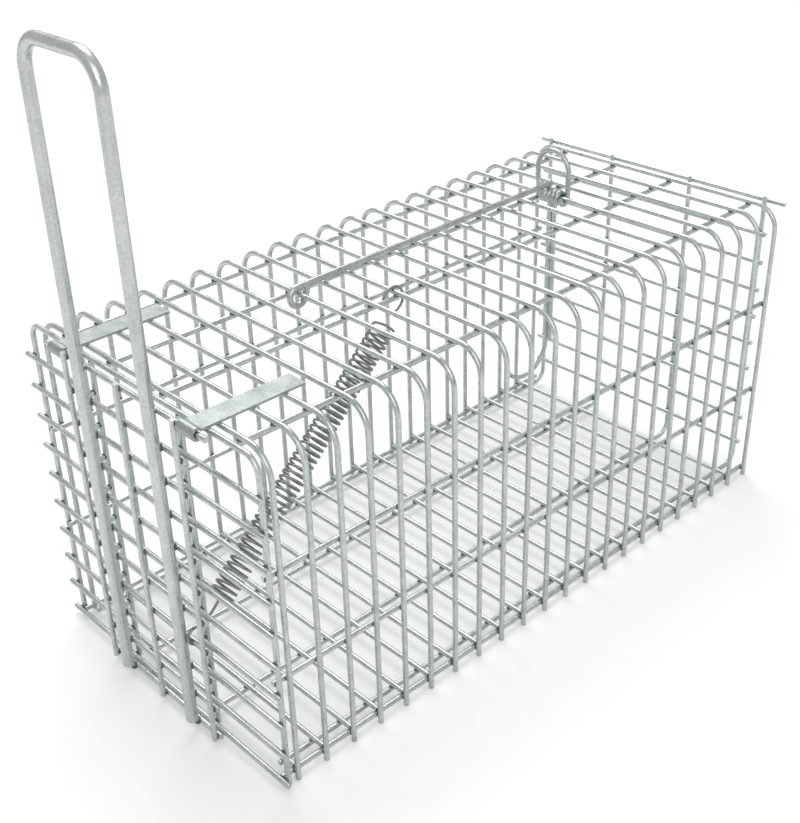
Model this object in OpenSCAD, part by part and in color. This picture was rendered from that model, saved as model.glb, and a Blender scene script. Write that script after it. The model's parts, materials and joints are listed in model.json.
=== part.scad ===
// Live catch trap: a welded wire cage with a sprung drop door, a trigger rod and a bait hook.
// Millimetres, +Z up, door towards -Y. The origin is the centre of the footprint, on the ground.

/* [Cage] */
// Spacing of the hoops and of the cross bars
pitch = 12.7; // [12:0.1:14]
// Number of hoops behind the front hoop
hoop_count = 22; // [22:1:22]
// Half the distance between the centre lines of a hoop's two legs
hoop_half_w = 65; // [62:0.5:70]
// Height of a hoop's top centre line above the ground
hoop_top_z = 130; // [127:0.5:135]
// Bend radius of a hoop's corners
hoop_bend_r = 10; // [6:0.5:14]
// Diameter of the cage wire
wire_d = 2; // [1.8:0.1:2.2]

/* [Front] */
// Distance from the front hoop back to the first hoop
front_gap = 4.3; // [4:0.1:6]
// Bend radius of the front hoop's corners
front_bend_r = 6; // [4:0.5:10]
// Half the distance between the two jambs of the doorway
jamb_half_w = 25.4; // [24:0.1:28]
// Length of a cut end that stands past a crossing
poke = 3; // [2:0.5:4]

/* [Door] */
// Half the distance between the door's stiles
stile_half_w = 31.75; // [30:0.25:33]
// Gap between the closed door's bars and the panel's bars
door_gap = 0.35; // [0.3:0.05:0.6]
// Height of the hinge axis above the hoop tops' centre line
hinge_rise = 0.4; // [0.4:0.1:1]
// Half the distance between the handle's legs
handle_half_w = 20.5; // [18:0.5:22]
// Height of the handle's crossbar above the ground
handle_top_z = 238.5; // [200:0.5:242]
// Height of the cut lower ends of the handle's legs
handle_low_z = 5; // [2:0.5:8]
// Diameter of the handle wire
handle_d = 4.4; // [4:0.1:5]
// Bend radius of the handle's corners
handle_bend_r = 10; // [8:0.5:14]

/* [Hinge straps] */
// Width of a strap
strap_w = 8.5; // [6:0.5:10]
// Thickness of the strap's sheet
strap_t = 0.9; // [0.7:0.1:1.2]
// Centre of a strap from the middle of the cage
strap_x = 37.5; // [37:0.5:40]
// Where a strap ends behind the first hoop
strap_back = 33; // [30:1:36]
// Inner radius of a strap's curl
curl_in = 1.4; // [1.3:0.1:1.6]

/* [Trigger] */
// Diameter of the rod and its eye
rod_d = 2.5; // [2:0.1:2.8]
// Inner radius of the rod's eye
eye_in = 2.4; // [2.2:0.1:2.6]
// Place of the rod across the cage
rod_x = -15; // [-16:0.5:-14]
// Hoop that carries the rod's eye
rod_hoop = 6; // [5:1:7]
// Distance from the eye's hoop to the rod's tip
rod_reach = 141; // [130:1:141]

/* [Bait hook] */
// Diameter of the catch wire
catch_d = 2.3; // [2:0.1:2.3]
// Hoop that the catch turns on
catch_hoop = 17; // [17:1:17]
// Height of the catch loop's top centre line
catch_top_z = 149; // [146:0.5:150]
// Place of the catch loop's left leg
catch_left_x = -23.5; // [-24:0.1:-23]
// Place of the catch loop's right leg
catch_right_x = -6.7; // [-6.8:0.1:-6]
// Height where the bait shank turns into its hook
shank_low_z = 60; // [55:1:70]
// Bend radius of the bait hook
bait_bend_r = 14; // [12:0.5:16]

/* [Spring] */
// Mean radius of the spring's coil
coil_r = 4.3; // [4:0.1:4.6]
// Diameter of the spring wire
spring_d = 1; // [0.8:0.1:1.1]
// Hoop that the spring hangs from
spring_hoop = 8; // [8:1:8]
// Place of the spring's upper end across the cage
spring_x = 8.6; // [8:0.1:8.7]
// Place of the spring's lower end across the door
door_hook_x = 23.3; // [23.2:0.1:23.4]
// Door bar, counted from the top, that carries the spring
spring_bar = 7; // [7:1:7]
// Turns of the coil
coil_turns = 48; // [20:1:50]

/* [Hidden] */
$fn = 24;

galvanised = "#c2c9c8";
bright_zinc = "#d2d7d6";
spring_steel = "#8f9695";

// A welded crossing sinks the two wires this far into each other
weld_sink = 0.05;
// Centre distance of two welded cage wires
stack = wire_d - weld_sink;
// Gap between two wires that run side by side
side_gap = 0.1;
// Clearance between the solids of two pieces that move apart
play = 0.3;
// Running clearance of the catch's coil on its hoop
run = 0.1;

top_wire_x = [-49, -20.5, 10.5, 51];
floor_wire_x = [-59, -22.5, 20, 57.5];
side_high_z = 86.5;
side_low_z = 44.5;
bottom_z = 3.2;
floor_bend_r = 6;
rear_wire_rise = 1.5;

bar_count = 10;
roof_z = hoop_top_z + wire_d / 2;
rear_hoop_y = (hoop_count - 1) * pitch;
front_hoop_y = -front_gap;
panel_bar_y = front_hoop_y - stack;
door_bar_y = panel_bar_y - wire_d - door_gap;
stile_y = door_bar_y - stack;
handle_y = door_bar_y - (wire_d + handle_d) / 2 + weld_sink;
rear_upright_y = rear_hoop_y + stack;
rear_top_y = rear_upright_y + stack;
hinge_z = hoop_top_z + hinge_rise;
side_wire_x = hoop_half_w - stack;
end_x = hoop_half_w + poke;

// The footprint runs from the handle's front to the rear top wire's back
footprint_front = handle_y - handle_d / 2;
footprint_back = rear_top_y + wire_d / 2;
centre_shift_y = -(footprint_front + footprint_back) / 2;

// Trigger rod: the eye hangs on its hoop, and the rod lies on the catch's coil
eye_r = eye_in + rod_d / 2;
rod_hoop_y = rod_hoop * pitch;
rod_start_z = roof_z + rod_d / 2 + play;
eye_z = rod_start_z - eye_r;
eye_tail = 9;
catch_r = wire_d / 2 + run + catch_d / 2;
rod_rest_z = hoop_top_z + catch_r + (catch_d + rod_d) / 2 + play;
catch_y = catch_hoop * pitch;
rod_pitch_angle = atan((rod_rest_z - rod_start_z) / (catch_y - catch_r - rod_hoop_y));

// Catch and bait hook
// Clearance between the catch's first turn and the roof wire beside it
catch_clearance = 0.35;
catch_turns = 5;
catch_turn_pitch = 2.2;
catch_coil_x = top_wire_x[1] + (wire_d + catch_d) / 2 + catch_clearance;
catch_bend_r = (catch_right_x - catch_left_x) / 2;
catch_back_y = catch_y + catch_r;
shank_r = 1;
shank_top_drop = 1.5;
catch_step_z = hoop_top_z + 5;
// The catch wire is this much thicker where its left leg kinks
knee_bulge = 0.2;
bait_sweep = 150;

// Spring: end points of its line, both below and behind what they hang on
loop_gap = 0.1;
upper_loop_r = 5;
upper_loop_z = roof_z + loop_gap - (upper_loop_r - spring_d / 2);
spring_top = [spring_x, spring_hoop * pitch, upper_loop_z - upper_loop_r];
door_loop_r = 3.6;
door_loop_dir = [0, 0.8, 0.6];
spring_bar_z = hoop_top_z - spring_bar * pitch;
door_loop_shift = door_loop_r - spring_d / 2 - wire_d / 2 - loop_gap;
door_loop_at = [door_hook_x, door_bar_y, spring_bar_z] + door_loop_shift * door_loop_dir;
spring_end = door_loop_at + door_loop_r * door_loop_dir;
spring_line = spring_end - spring_top;
spring_length = norm(spring_line);
neck_gap = spring_d + play;
upper_neck = 7;
lower_neck = 12;
neck_ring_r = 1.1;
coil_length = spring_length - upper_neck - lower_neck;
coil_steps = 10;
coil_sides = 5;

function hoop_name(i) = str("hoop_", i < 9 ? "0" : "", i + 1);
function bar_z(k) = hoop_top_z - k * pitch;
function catch_turn_x(t) = catch_coil_x + t * catch_turn_pitch;

// Straight wires along the three axes
module wire_x(x0, x1, y, z, d = wire_d)
  translate([x0, y, z]) rotate([0, 90, 0]) cylinder(d = d, h = x1 - x0);

module wire_y(y0, y1, x, z, d = wire_d)
  translate([x, y0, z]) rotate([-90, 0, 0]) cylinder(d = d, h = y1 - y0);

module wire_z(z0, z1, x, y, d = wire_d)
  translate([x, y, z0]) cylinder(d = d, h = z1 - z0);

// A straight wire from one point to another
module wire_between(a, b, d) {
  run_v = b - a;
  translate(a) rotate([0, acos(run_v[2] / norm(run_v)), atan2(run_v[1], run_v[0])])
    cylinder(d = d, h = norm(run_v));
}

// A bend in the YZ plane, from angle start by sweep, measured from +Y towards +Z
module bend_yz(at, r, start, sweep, d)
  translate(at) rotate([90, 0, 90]) rotate([0, 0, start])
    rotate_extrude(angle = sweep) translate([r, 0]) circle(d = d);

// A bend in the XZ plane from +X to +Z
module bend_xz(at, r, d)
  translate(at) rotate([90, 0, 0]) rotate_extrude(angle = 90) translate([r, 0]) circle(d = d);

// An inverted U standing on z0, in the plane at y
module u_wire(half_w, z0, top_z, bend_r, y, d) {
  for (side = [0, 1])
    mirror([side, 0, 0]) {
      wire_z(z0, top_z - bend_r, half_w, y, d);
      bend_xz([half_w - bend_r, y, top_z - bend_r], bend_r, d);
    }
  wire_x(-(half_w - bend_r), half_w - bend_r, y, top_z, d);
}

module hoop(i)
  color(galvanised) u_wire(hoop_half_w, 0, hoop_top_z, hoop_bend_r, i * pitch, wire_d);

module front_hoop()
  color(galvanised) u_wire(hoop_half_w, 0, hoop_top_z, front_bend_r, front_hoop_y, wire_d);

module top_wire(i)
  color(galvanised) wire_y(-wire_d, rear_hoop_y + wire_d / 2, top_wire_x[i], hoop_top_z - stack);

module side_wire(side, z)
  color(galvanised)
    wire_y(front_hoop_y - wire_d / 2, rear_hoop_y + wire_d / 2, side * side_wire_x, z);

module floor_rear_wire(i)
  color(galvanised) {
    wire_z(bottom_z + floor_bend_r, roof_z + rear_wire_rise, floor_wire_x[i], rear_upright_y);
    bend_yz([floor_wire_x[i], rear_upright_y - floor_bend_r, bottom_z + floor_bend_r],
            floor_bend_r, -90, 90, wire_d);
    wire_y(-wire_d, rear_upright_y - floor_bend_r, floor_wire_x[i], bottom_z);
  }

module rear_top_wire()
  color(galvanised) wire_x(-hoop_half_w - wire_d / 2, hoop_half_w + wire_d / 2, rear_top_y, roof_z);

module rear_bars()
  color(galvanised)
    for (k = [1 : bar_count - 1])
      wire_x(-(side_wire_x - wire_d), side_wire_x - wire_d, rear_hoop_y, bar_z(k));

module floor_cross_wires()
  color(galvanised)
    for (i = [0 : hoop_count - 2])
      wire_x(-(side_wire_x + wire_d / 4), side_wire_x + wire_d / 4, i * pitch, bottom_z + stack);

// Strips of cross bars beside the doorway, from the jamb to past the front hoop's leg
module front_bars(side)
  color(galvanised)
    mirror([side < 0 ? 1 : 0, 0, 0])
      for (k = [1 : bar_count - 1])
        wire_x(jamb_half_w - wire_d / 2, end_x, panel_bar_y, bar_z(k));

module front_sill()
  color(galvanised) wire_x(-end_x, end_x, panel_bar_y, bar_z(bar_count));

module front_jamb(side)
  color(galvanised)
    wire_z(bar_z(bar_count) - wire_d / 2, hoop_top_z - stack / 2, side * jamb_half_w, front_hoop_y);

// A flat strip on the hoop tops whose front end is curled round the hinge wire
module strap(side)
  color(bright_zinc)
    translate([side * strap_x - strap_w / 2, 0, 0]) {
      translate([0, door_bar_y + curl_in, roof_z - weld_sink / 2])
        cube([strap_w, strap_back - door_bar_y - curl_in, strap_t]);
      translate([0, door_bar_y, hinge_z]) rotate([90, 0, 90]) rotate([0, 0, 25])
        rotate_extrude(angle = 260, $fn = 48)
          translate([curl_in, 0]) square([strap_t, strap_w]);
    }

module door_hinge_wire()
  color(galvanised)
    wire_x(-(strap_x + strap_w), strap_x + strap_w, door_bar_y, hinge_z);

module door_upright(x)
  color(galvanised) wire_z(wire_d, hinge_z + wire_d, x, stile_y);

module door_bars()
  color(galvanised)
    for (k = [1 : bar_count])
      wire_x(-(stile_half_w + poke / 2), stile_half_w + poke / 2, door_bar_y, bar_z(k));

module handle()
  color(galvanised)
    u_wire(handle_half_w, handle_low_z, handle_top_z, handle_bend_r, handle_y, handle_d);

// A closed loop of spring wire in the YZ plane
module spring_loop(at, r)
  bend_yz(at, r, 0, 360, spring_d);

module spring_upper_hook()
  color(spring_steel) spring_loop([spring_x, spring_hoop * pitch, upper_loop_z], upper_loop_r);

module spring_lower_hook()
  color(spring_steel) spring_loop(door_loop_at, door_loop_r);

// Children are drawn along +Z of the spring's own line, from its upper end
module on_spring_line()
  translate(spring_top)
    rotate([0, acos(spring_line[2] / spring_length), atan2(spring_line[1], spring_line[0])])
      children();

// Corners of the coil wire's section at step s of the helix
function helix_ring(s) =
  let (a = s * 360 / coil_steps, rise = s * coil_length / (coil_turns * coil_steps))
  [for (c = [0 : coil_sides - 1])
    let (b = c * 360 / coil_sides, r = coil_r + spring_d / 2 * cos(b))
    [r * cos(a), r * sin(a), upper_neck + rise + spring_d / 2 * sin(b)]];

module helix() {
  last = coil_turns * coil_steps;
  points = [for (s = [0 : last]) each helix_ring(s)];
  walls = [for (s = [0 : last - 1], c = [0 : coil_sides - 1])
    let (n = (c + 1) % coil_sides, lo = s * coil_sides, hi = lo + coil_sides)
    each [[lo + c, hi + n, hi + c], [lo + c, lo + n, hi + n]]];
  start_cap = [for (c = [coil_sides - 1 : -1 : 0]) c];
  end_cap = [for (c = [0 : coil_sides - 1]) last * coil_sides + c];
  polyhedron(points, concat(walls, [start_cap, end_cap]));
}

module spring_coil()
  color(spring_steel)
    on_spring_line() {
      helix();
      translate([0, 0, neck_gap]) cylinder(d = spring_d, h = upper_neck - neck_gap);
      translate([0, 0, upper_neck]) rotate([0, 90, 0]) cylinder(d = spring_d, h = coil_r);
    }

module spring_end_neck()
  color(spring_steel)
    on_spring_line()
      translate([0, 0, spring_length - lower_neck + neck_gap]) {
        cylinder(d = spring_d, h = lower_neck - 2 * neck_gap);
        rotate_extrude() translate([neck_ring_r, 0]) circle(d = spring_d);
        translate([-neck_ring_r, 0, 0]) rotate([0, 90, 0]) cylinder(d = spring_d, h = 2 * neck_ring_r);
      }

// An eye round a hoop, the long rod leaving its top, and the eye's short tail
module trigger_rod()
  color(galvanised)
    translate([rod_x, rod_hoop_y, eye_z]) rotate([rod_pitch_angle, 0, 0]) {
      bend_yz([0, 0, 0], eye_r, 90, 250, rod_d);
      wire_y(0, rod_reach, 0, eye_r, rod_d);
      rotate([-20, 0, 0]) wire_z(0, eye_tail / 2, 0, eye_r, rod_d);
    }

// Turns round a hoop, an inverted U above them, and a doubled shank that ends in a hook
module bait_hook()
  color(galvanised) {
    translate([catch_coil_x, catch_y, hoop_top_z]) rotate([0, 90, 0]) rotate_extrude()
      for (t = [0 : catch_turns - 1]) translate([catch_r, t * catch_turn_pitch]) circle(d = catch_d);
    bend_yz([catch_right_x, catch_y, hoop_top_z], catch_r, 0, -200, catch_d);
    translate([(catch_left_x + catch_right_x) / 2, catch_back_y, catch_top_z - catch_bend_r])
      rotate([90, 0, 0]) rotate_extrude(angle = 180) translate([catch_bend_r, 0]) circle(d = catch_d);
    wire_z(hoop_top_z, catch_top_z - catch_bend_r, catch_right_x, catch_back_y, catch_d);
    wire_z(catch_step_z, catch_top_z - catch_bend_r, catch_left_x, catch_back_y, catch_d);
    wire_between([catch_left_x, catch_back_y, catch_step_z],
                 [catch_turn_x(0), catch_back_y, hoop_top_z], 2 * shank_r);
    translate([catch_left_x, catch_back_y, catch_step_z]) sphere(d = catch_d + knee_bulge);
    for (t = [1, 2])
      wire_z(shank_low_z, hoop_top_z - shank_top_drop, catch_turn_x(t), catch_back_y, 2 * shank_r);
    bend_yz([catch_turn_x(1), catch_back_y - bait_bend_r, shank_low_z],
            bait_bend_r, 0, -bait_sweep, 2 * shank_r);
  }

translate([0, centre_shift_y, 0]) {
  for (i = [0 : hoop_count - 1])
    hoop(i);
  front_hoop();
  for (i = [0 : 3])
    top_wire(i);
  side_wire(-1, side_high_z);  // side_wire_left_high
  side_wire(-1, side_low_z);  // side_wire_left_low
  side_wire(1, side_high_z);  // side_wire_right_high
  side_wire(1, side_low_z);  // side_wire_right_low
  side_wire(-1, bottom_z);  // bottom_wire_left
  side_wire(1, bottom_z);  // bottom_wire_right
  for (i = [0 : 3])
    floor_rear_wire(i);
  rear_top_wire();
  rear_bars();
  floor_cross_wires();
  front_bars(-1);  // front_bars_left
  front_bars(1);  // front_bars_right
  front_sill();
  front_jamb(-1);  // front_jamb_left
  front_jamb(1);  // front_jamb_right
  strap(-1);  // strap_left
  strap(1);  // strap_right
  door_hinge_wire();
  door_upright(-stile_half_w);  // door_stile_left
  door_upright(stile_half_w);  // door_stile_right
  door_upright(0);  // door_centre_wire
  door_bars();
  handle();
  spring_upper_hook();
  spring_coil();
  spring_end_neck();
  spring_lower_hook();
  trigger_rod();
  bait_hook();
}
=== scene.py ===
"""Live catch trap: looks of a welded wire cage, its sprung door, trigger rod and bait hook.

Metres, +Z up, door towards -Y.
"""
import json
import math

import bpy
from mathutils import Matrix, Quaternion, Vector


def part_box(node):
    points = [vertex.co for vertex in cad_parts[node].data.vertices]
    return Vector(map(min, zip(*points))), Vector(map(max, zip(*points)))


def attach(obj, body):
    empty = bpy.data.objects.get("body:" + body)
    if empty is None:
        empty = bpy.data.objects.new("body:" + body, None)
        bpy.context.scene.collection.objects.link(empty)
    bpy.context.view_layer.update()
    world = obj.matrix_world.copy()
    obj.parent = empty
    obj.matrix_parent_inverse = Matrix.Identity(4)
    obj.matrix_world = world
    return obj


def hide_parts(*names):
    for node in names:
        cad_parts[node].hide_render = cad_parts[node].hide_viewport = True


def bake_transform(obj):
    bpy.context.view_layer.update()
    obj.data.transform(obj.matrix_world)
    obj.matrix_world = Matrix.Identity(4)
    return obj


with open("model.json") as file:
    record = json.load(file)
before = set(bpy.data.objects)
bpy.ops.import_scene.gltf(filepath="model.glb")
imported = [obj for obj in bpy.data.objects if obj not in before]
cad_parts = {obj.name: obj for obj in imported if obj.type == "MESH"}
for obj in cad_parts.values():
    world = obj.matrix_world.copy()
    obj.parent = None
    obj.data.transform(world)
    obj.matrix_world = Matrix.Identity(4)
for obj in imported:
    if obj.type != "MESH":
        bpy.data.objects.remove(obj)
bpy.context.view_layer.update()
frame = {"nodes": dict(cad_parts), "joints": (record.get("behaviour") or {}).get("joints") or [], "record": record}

MM = 0.001
NODES = frame["nodes"]

# Camera: where it stands, the way it looks, its tilt about that line and its lens on a 36 mm sensor
CAMERA_PLACE = Vector((0.3165, -0.3084, 0.3202))
CAMERA_AIM = Vector((-0.6374, 0.5860, -0.5004))
CAMERA_ROLL = math.radians(-1.64)
CAMERA_LENS = 54.75

# The welded mesh: spacing of its bars, and how many bars stand below the front hoop's top
MESH_PITCH = 12.7 * MM
BAR_COUNT = 10

# Spring: the coil's own sizes, and how far it is from the line's two ends
COIL_RADIUS = 4.3 * MM
COIL_WIRE = 1.0 * MM
COIL_TURNS = 48
COIL_SIDES = 12
COIL_STEPS = 24
COIL_START = 7 * MM
COIL_STOP = 12 * MM
# The way from the lower hook's middle to the point where the spring's line ends
LOWER_HOOK_WAY = Vector((0, 0.8, 0.6))

# Weld nuggets stand a little proud of the crossing of two wires
WELD_RADIUS = 1.15 * MM
DOOR_WELD_RADIUS = 1.2 * MM
HANDLE_WELD_RADIUS = 1.5 * MM

FLOOR_SIZE = 12.0
# Light that the camera alone sees on the paper, so it reads as white
FLOOR_LIFT = 0.22
ROOM_LIGHT = 0.55
# Soft boxes: place, side length and power in watts; both face a point low in the cage
KEY_PLACE = (-0.9, 0.5, 1.7)
KEY_SIZE = 1.2
KEY_POWER = 17
FILL_PLACE = (1.2, -0.9, 1.2)
FILL_SIZE = 1.5
FILL_POWER = 8
LIGHT_AIM = Vector((0, 0, 0.05))


# ---------------------------------------------------------------- helpers

def linear(code, alpha=1.0):
    """A hex colour as linear RGBA."""
    channels = [int(code[i:i + 2], 16) / 255 for i in (1, 3, 5)]
    return [c / 12.92 if c <= 0.04045 else ((c + 0.055) / 1.055) ** 2.4 for c in channels] + [alpha]


def add_node(tree, kind, inputs=None, **settings):
    """A shader node with its settings and the values or links of its inputs."""
    made = tree.nodes.new(kind)
    for key, value in settings.items():
        setattr(made, key, value)
    for key, value in (inputs or {}).items():
        if isinstance(value, bpy.types.NodeSocket):
            tree.links.new(value, made.inputs[key])
        else:
            made.inputs[key].default_value = value
    return made


def new_material(name):
    """An empty material: its node tree and its output node."""
    material = bpy.data.materials.new(name)
    material.use_nodes = True
    tree = material.node_tree
    tree.nodes.clear()
    return material, tree, add_node(tree, "ShaderNodeOutputMaterial")


def middle(node):
    low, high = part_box(node)
    return (low + high) / 2


# ---------------------------------------------------------------- materials

def zinc(name, pale, dark, rough_low, rough_high, patch=6.0, grain=0.9, bump=0.12):
    """Zinc-coated steel: soft cloudy patches, a fine grain and slight unevenness. Sizes in mm."""
    material, tree, output = new_material(name)
    place = add_node(tree, "ShaderNodeTexCoord").outputs["Object"]
    clouds = add_node(tree, "ShaderNodeTexNoise",
                      {"Vector": place, "Scale": 1 / (patch * MM), "Detail": 3.0, "Roughness": 0.55})
    fine = add_node(tree, "ShaderNodeTexNoise",
                    {"Vector": place, "Scale": 1 / (grain * MM), "Detail": 2.0})
    both = add_node(tree, "ShaderNodeMath", {0: clouds.outputs["Fac"], 1: fine.outputs["Fac"]},
                    operation="ADD")
    share = add_node(tree, "ShaderNodeMapRange",
                     {"Value": both.outputs[0], "From Min": 0.6, "From Max": 1.4})
    colour = add_node(tree, "ShaderNodeMix",
                      {"Factor": share.outputs[0], "A": linear(dark), "B": linear(pale)},
                      data_type="RGBA")
    rough = add_node(tree, "ShaderNodeMapRange",
                     {"Value": clouds.outputs["Fac"], "From Min": 0.3, "From Max": 0.7,
                      "To Min": rough_low, "To Max": rough_high})
    relief = add_node(tree, "ShaderNodeBump",
                      {"Height": fine.outputs["Fac"], "Strength": bump, "Distance": 0.1 * MM})
    shader = add_node(tree, "ShaderNodeBsdfPrincipled",
                      {"Base Color": colour.outputs["Result"], "Metallic": 1.0,
                       "Roughness": rough.outputs[0], "Normal": relief.outputs[0]})
    tree.links.new(shader.outputs[0], output.inputs["Surface"])
    return material


# Zinc-plated drawn wire of the cage: pale and cool, faintly green
cage_zinc = zinc("galvanised_wire", "#e8edea", "#b4bcb8", 0.22, 0.4)
# The door's wire is the same stock, a little brighter
door_zinc = zinc("galvanised_door_wire", "#eaeeec", "#b9c0bd", 0.2, 0.38)
# The handle's thicker wire is smoother
handle_zinc = zinc("galvanised_handle_wire", "#e9edeb", "#c2c8c5", 0.22, 0.36, patch=12.0, bump=0.06)
# Rod and bait hook: formed wire, slightly duller
formed_zinc = zinc("galvanised_formed_wire", "#e0e4e2", "#a8afac", 0.24, 0.42)
# Zinc-coated sheet of the hinge straps: matt
strap_zinc = zinc("zinc_coated_sheet", "#c6cbcb", "#9ca3a3", 0.34, 0.5, patch=7.0, bump=0.1)
# Spring steel, darker and oily
spring_steel = zinc("spring_steel", "#b3b8b7", "#747a79", 0.25, 0.42, patch=3.0, bump=0.1)
# Resistance welds: burnt, rough zinc
weld_burn = zinc("weld_burn", "#9aa09d", "#4f5553", 0.5, 0.75, patch=1.5, grain=0.5, bump=0.5)

SLOT_MATERIALS = {
    "cage_wire": cage_zinc,
    "door_wire": door_zinc,
    "handle_wire": handle_zinc,
    "formed_wire": formed_zinc,
    "strap_sheet": strap_zinc,
    "spring_wire": spring_steel,
}
for entry in frame["record"]["subparts"]:
    mesh = NODES[entry["node"]].data
    mesh.materials.clear()
    mesh.materials.append(SLOT_MATERIALS[entry["material_slot"]])


# ---------------------------------------------------------------- welds

def weld_nuggets(name, body, spots):
    """One mesh of small round nuggets. spots holds (place, radius) pairs."""
    first_place, first_radius = spots[0]
    bpy.ops.object.select_all(action="DESELECT")
    bpy.ops.mesh.primitive_ico_sphere_add(subdivisions=2, radius=first_radius, location=(0, 0, 0))
    nuggets = bpy.context.object
    nuggets.name = name
    bpy.ops.object.mode_set(mode="EDIT")
    bpy.ops.mesh.select_all(action="SELECT")
    bpy.ops.transform.translate(value=first_place)
    for place, radius in spots[1:]:
        bpy.ops.mesh.primitive_ico_sphere_add(subdivisions=2, radius=radius, location=place)
    bpy.ops.object.mode_set(mode="OBJECT")
    bpy.ops.object.shade_smooth()
    nuggets.data.materials.clear()
    nuggets.data.materials.append(weld_burn)
    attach(nuggets, body)
    return nuggets


hoops = ["front_hoop"] + [f"hoop_{i:02d}" for i in range(1, 23)]
hoop_ys = [middle(h).y for h in hoops]
hoop_low, hoop_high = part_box("hoop_01")
wire_r = (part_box("top_wire_1")[1].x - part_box("top_wire_1")[0].x) / 2
bar_zs = [hoop_high.z - wire_r - k * MESH_PITCH for k in range(1, BAR_COUNT + 1)]

cage_spots = []
for wire in (f"top_wire_{i}" for i in range(1, 5)):
    at = middle(wire)
    cage_spots += [(Vector((at.x, y, at.z + wire_r)), WELD_RADIUS) for y in hoop_ys[1:]]
for wire in ("side_wire_left_high", "side_wire_left_low", "bottom_wire_left",
             "side_wire_right_high", "side_wire_right_low", "bottom_wire_right"):
    at = middle(wire)
    outward = math.copysign(wire_r, at.x)
    cage_spots += [(Vector((at.x + outward, y, at.z)), WELD_RADIUS) for y in hoop_ys]
floor_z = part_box("floor_cross_wires")[0].z
rear_y = middle("rear_bars").y + wire_r
for wire in (f"floor_rear_wire_{i}" for i in range(1, 5)):
    x = middle(wire).x
    cage_spots += [(Vector((x, y, floor_z)), WELD_RADIUS) for y in hoop_ys[1:-1]]
    cage_spots += [(Vector((x, rear_y, z)), WELD_RADIUS) for z in bar_zs[:-1]]
sill_y = middle("front_sill").y + wire_r
jamb_xs = [middle("front_jamb_left").x, middle("front_jamb_right").x]
leg_xs = [hoop_low.x + wire_r, hoop_high.x - wire_r]
for x in jamb_xs + leg_xs:
    cage_spots += [(Vector((x, sill_y, z)), WELD_RADIUS) for z in bar_zs]
weld_nuggets("cage_welds", "cage", cage_spots)

bar_front_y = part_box("door_bars")[0].y
door_spots = []
for upright in ("door_stile_left", "door_stile_right", "door_centre_wire"):
    x = middle(upright).x
    door_spots += [(Vector((x, bar_front_y, z)), DOOR_WELD_RADIUS) for z in bar_zs]
    door_spots.append((Vector((x, bar_front_y, middle("door_hinge_wire").z)), DOOR_WELD_RADIUS))
leg_r = (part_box("handle")[1].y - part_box("handle")[0].y) / 2
for x in (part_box("handle")[0].x + leg_r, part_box("handle")[1].x - leg_r):
    door_spots += [(Vector((x, bar_front_y, z)), HANDLE_WELD_RADIUS) for z in bar_zs]
weld_nuggets("door_welds", "door", door_spots)


# ---------------------------------------------------------------- spring

def spring_helix():
    """The coil: a round wire section screwed about Z, then laid along the spring's own line."""
    hook = middle("spring_upper_hook")
    start = Vector((hook.x, hook.y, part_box("spring_upper_hook")[0].z + COIL_WIRE / 2))
    joint = next(j for j in frame["joints"] if j["name"] == "spring_stretch")
    along = Vector(joint["axis"]).normalized()
    hook_low, hook_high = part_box("spring_lower_hook")
    hook_eye = (hook_low + hook_high) / 2
    loop_r = (hook_high.z - hook_low.z - COIL_WIRE) / 2
    end = hook_eye + LOWER_HOOK_WAY * loop_r
    length = (end - start).length - COIL_START - COIL_STOP

    bpy.ops.object.select_all(action="DESELECT")
    bpy.ops.mesh.primitive_circle_add(vertices=COIL_SIDES, radius=COIL_WIRE / 2,
                                      location=(0, 0, 0), fill_type="NOTHING")
    coil = bpy.context.object
    coil.name = "spring_coil_turns"
    bpy.ops.object.mode_set(mode="EDIT")
    bpy.ops.mesh.select_all(action="SELECT")
    bpy.ops.transform.rotate(value=math.pi / 2, orient_axis="X", center_override=(0, 0, 0))
    bpy.ops.transform.translate(value=(COIL_RADIUS, 0, 0))
    bpy.ops.object.mode_set(mode="OBJECT")
    screw = coil.modifiers.new("turns", "SCREW")
    screw.axis = "Z"
    screw.angle = 2 * math.pi * COIL_TURNS
    screw.screw_offset = length
    screw.steps = COIL_TURNS * COIL_STEPS
    screw.render_steps = COIL_TURNS * COIL_STEPS
    screw.use_smooth_shade = True
    bpy.ops.object.modifier_apply(modifier="turns")
    bpy.ops.object.mode_set(mode="EDIT")
    bpy.ops.mesh.select_all(action="SELECT")
    bpy.ops.mesh.fill_holes(sides=COIL_SIDES)
    bpy.ops.mesh.normals_make_consistent(inside=False)
    bpy.ops.object.mode_set(mode="OBJECT")
    coil.data.transform(Matrix.Translation((0, 0, COIL_START)))
    coil.data.transform(Vector((0, 0, 1)).rotation_difference(along).to_matrix().to_4x4())
    coil.data.transform(Matrix.Translation(start))
    coil.data.materials.clear()
    coil.data.materials.append(spring_steel)
    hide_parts("spring_coil")
    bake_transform(coil)
    return coil


spring_helix()


# ---------------------------------------------------------------- stage, light, camera

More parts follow.
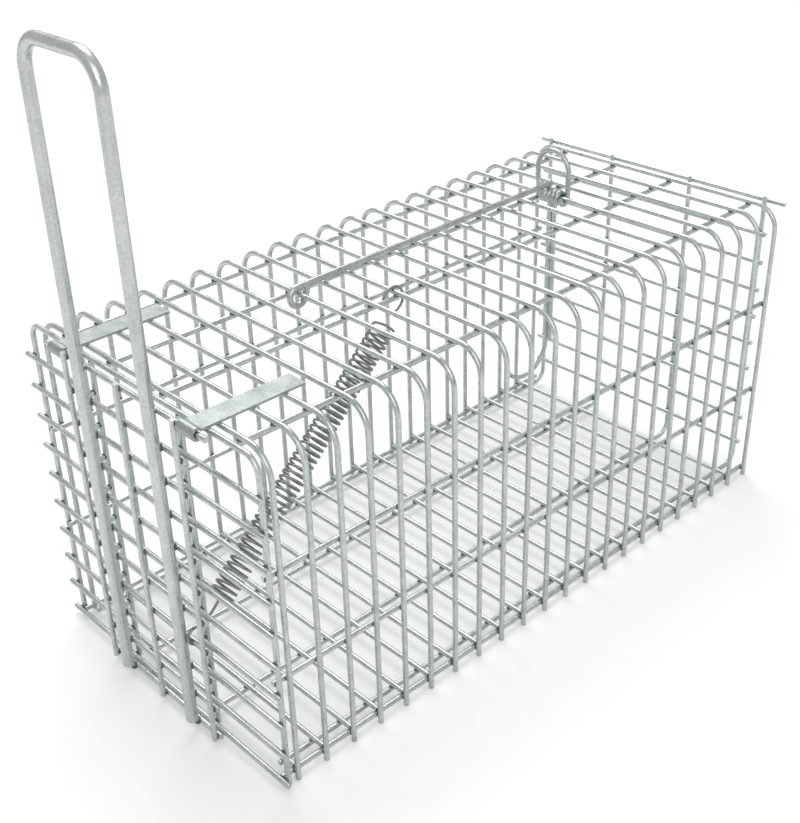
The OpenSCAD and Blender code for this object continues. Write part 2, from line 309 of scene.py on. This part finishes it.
def paper_floor():
    """A large sheet of white paper. What the camera sees of it is lifted a little, so it reads as white."""
    bpy.ops.object.select_all(action="DESELECT")
    bpy.ops.mesh.primitive_plane_add(size=FLOOR_SIZE, location=(0, 0, 0))
    floor = bpy.context.object
    floor.name = "paper_floor"
    material, tree, output = new_material("white_paper")
    paper = add_node(tree, "ShaderNodeBsdfDiffuse", {"Color": linear("#f4f4f4")})
    glow = add_node(tree, "ShaderNodeEmission", {"Color": linear("#ffffff"), "Strength": FLOOR_LIFT})
    seen = add_node(tree, "ShaderNodeLightPath").outputs["Is Camera Ray"]
    dark = add_node(tree, "ShaderNodeEmission", {"Strength": 0.0})
    lift = add_node(tree, "ShaderNodeMixShader", {0: seen, 1: dark.outputs[0], 2: glow.outputs[0]})
    sheet = add_node(tree, "ShaderNodeAddShader", {0: paper.outputs[0], 1: lift.outputs[0]})
    tree.links.new(sheet.outputs[0], output.inputs["Surface"])
    floor.data.materials.append(material)
    return floor


def soft_light(name, place, size, power):
    """A square soft box that faces the trap."""
    lamp = bpy.data.lights.new(name, "AREA")
    lamp.shape = "SQUARE"
    lamp.size = size
    lamp.energy = power
    light = bpy.data.objects.new(name, lamp)
    bpy.context.scene.collection.objects.link(light)
    light.location = place
    aim = LIGHT_AIM - Vector(place)
    light.rotation_mode = "QUATERNION"
    light.rotation_quaternion = aim.to_track_quat("-Z", "Y")
    return light


paper_floor()
soft_light("key_softbox", KEY_PLACE, KEY_SIZE, KEY_POWER)
soft_light("fill_softbox", FILL_PLACE, FILL_SIZE, FILL_POWER)

world = bpy.data.worlds.new("studio")
bpy.context.scene.world = world
world.use_nodes = True
world.node_tree.nodes["Background"].inputs["Color"].default_value = linear("#ffffff")
world.node_tree.nodes["Background"].inputs["Strength"].default_value = ROOM_LIGHT

camera_data = bpy.data.cameras.new("camera")
camera_data.lens = CAMERA_LENS
camera_data.sensor_width = 36
camera_data.clip_start = 0.01
camera = bpy.data.objects.new("camera", camera_data)
bpy.context.scene.collection.objects.link(camera)
camera.location = CAMERA_PLACE
camera.rotation_mode = "QUATERNION"
camera.rotation_quaternion = CAMERA_AIM.to_track_quat("-Z", "Y") @ Quaternion((0, 0, 1), CAMERA_ROLL)
bpy.context.scene.camera = camera
bpy.context.scene.view_settings.view_transform = "Standard"
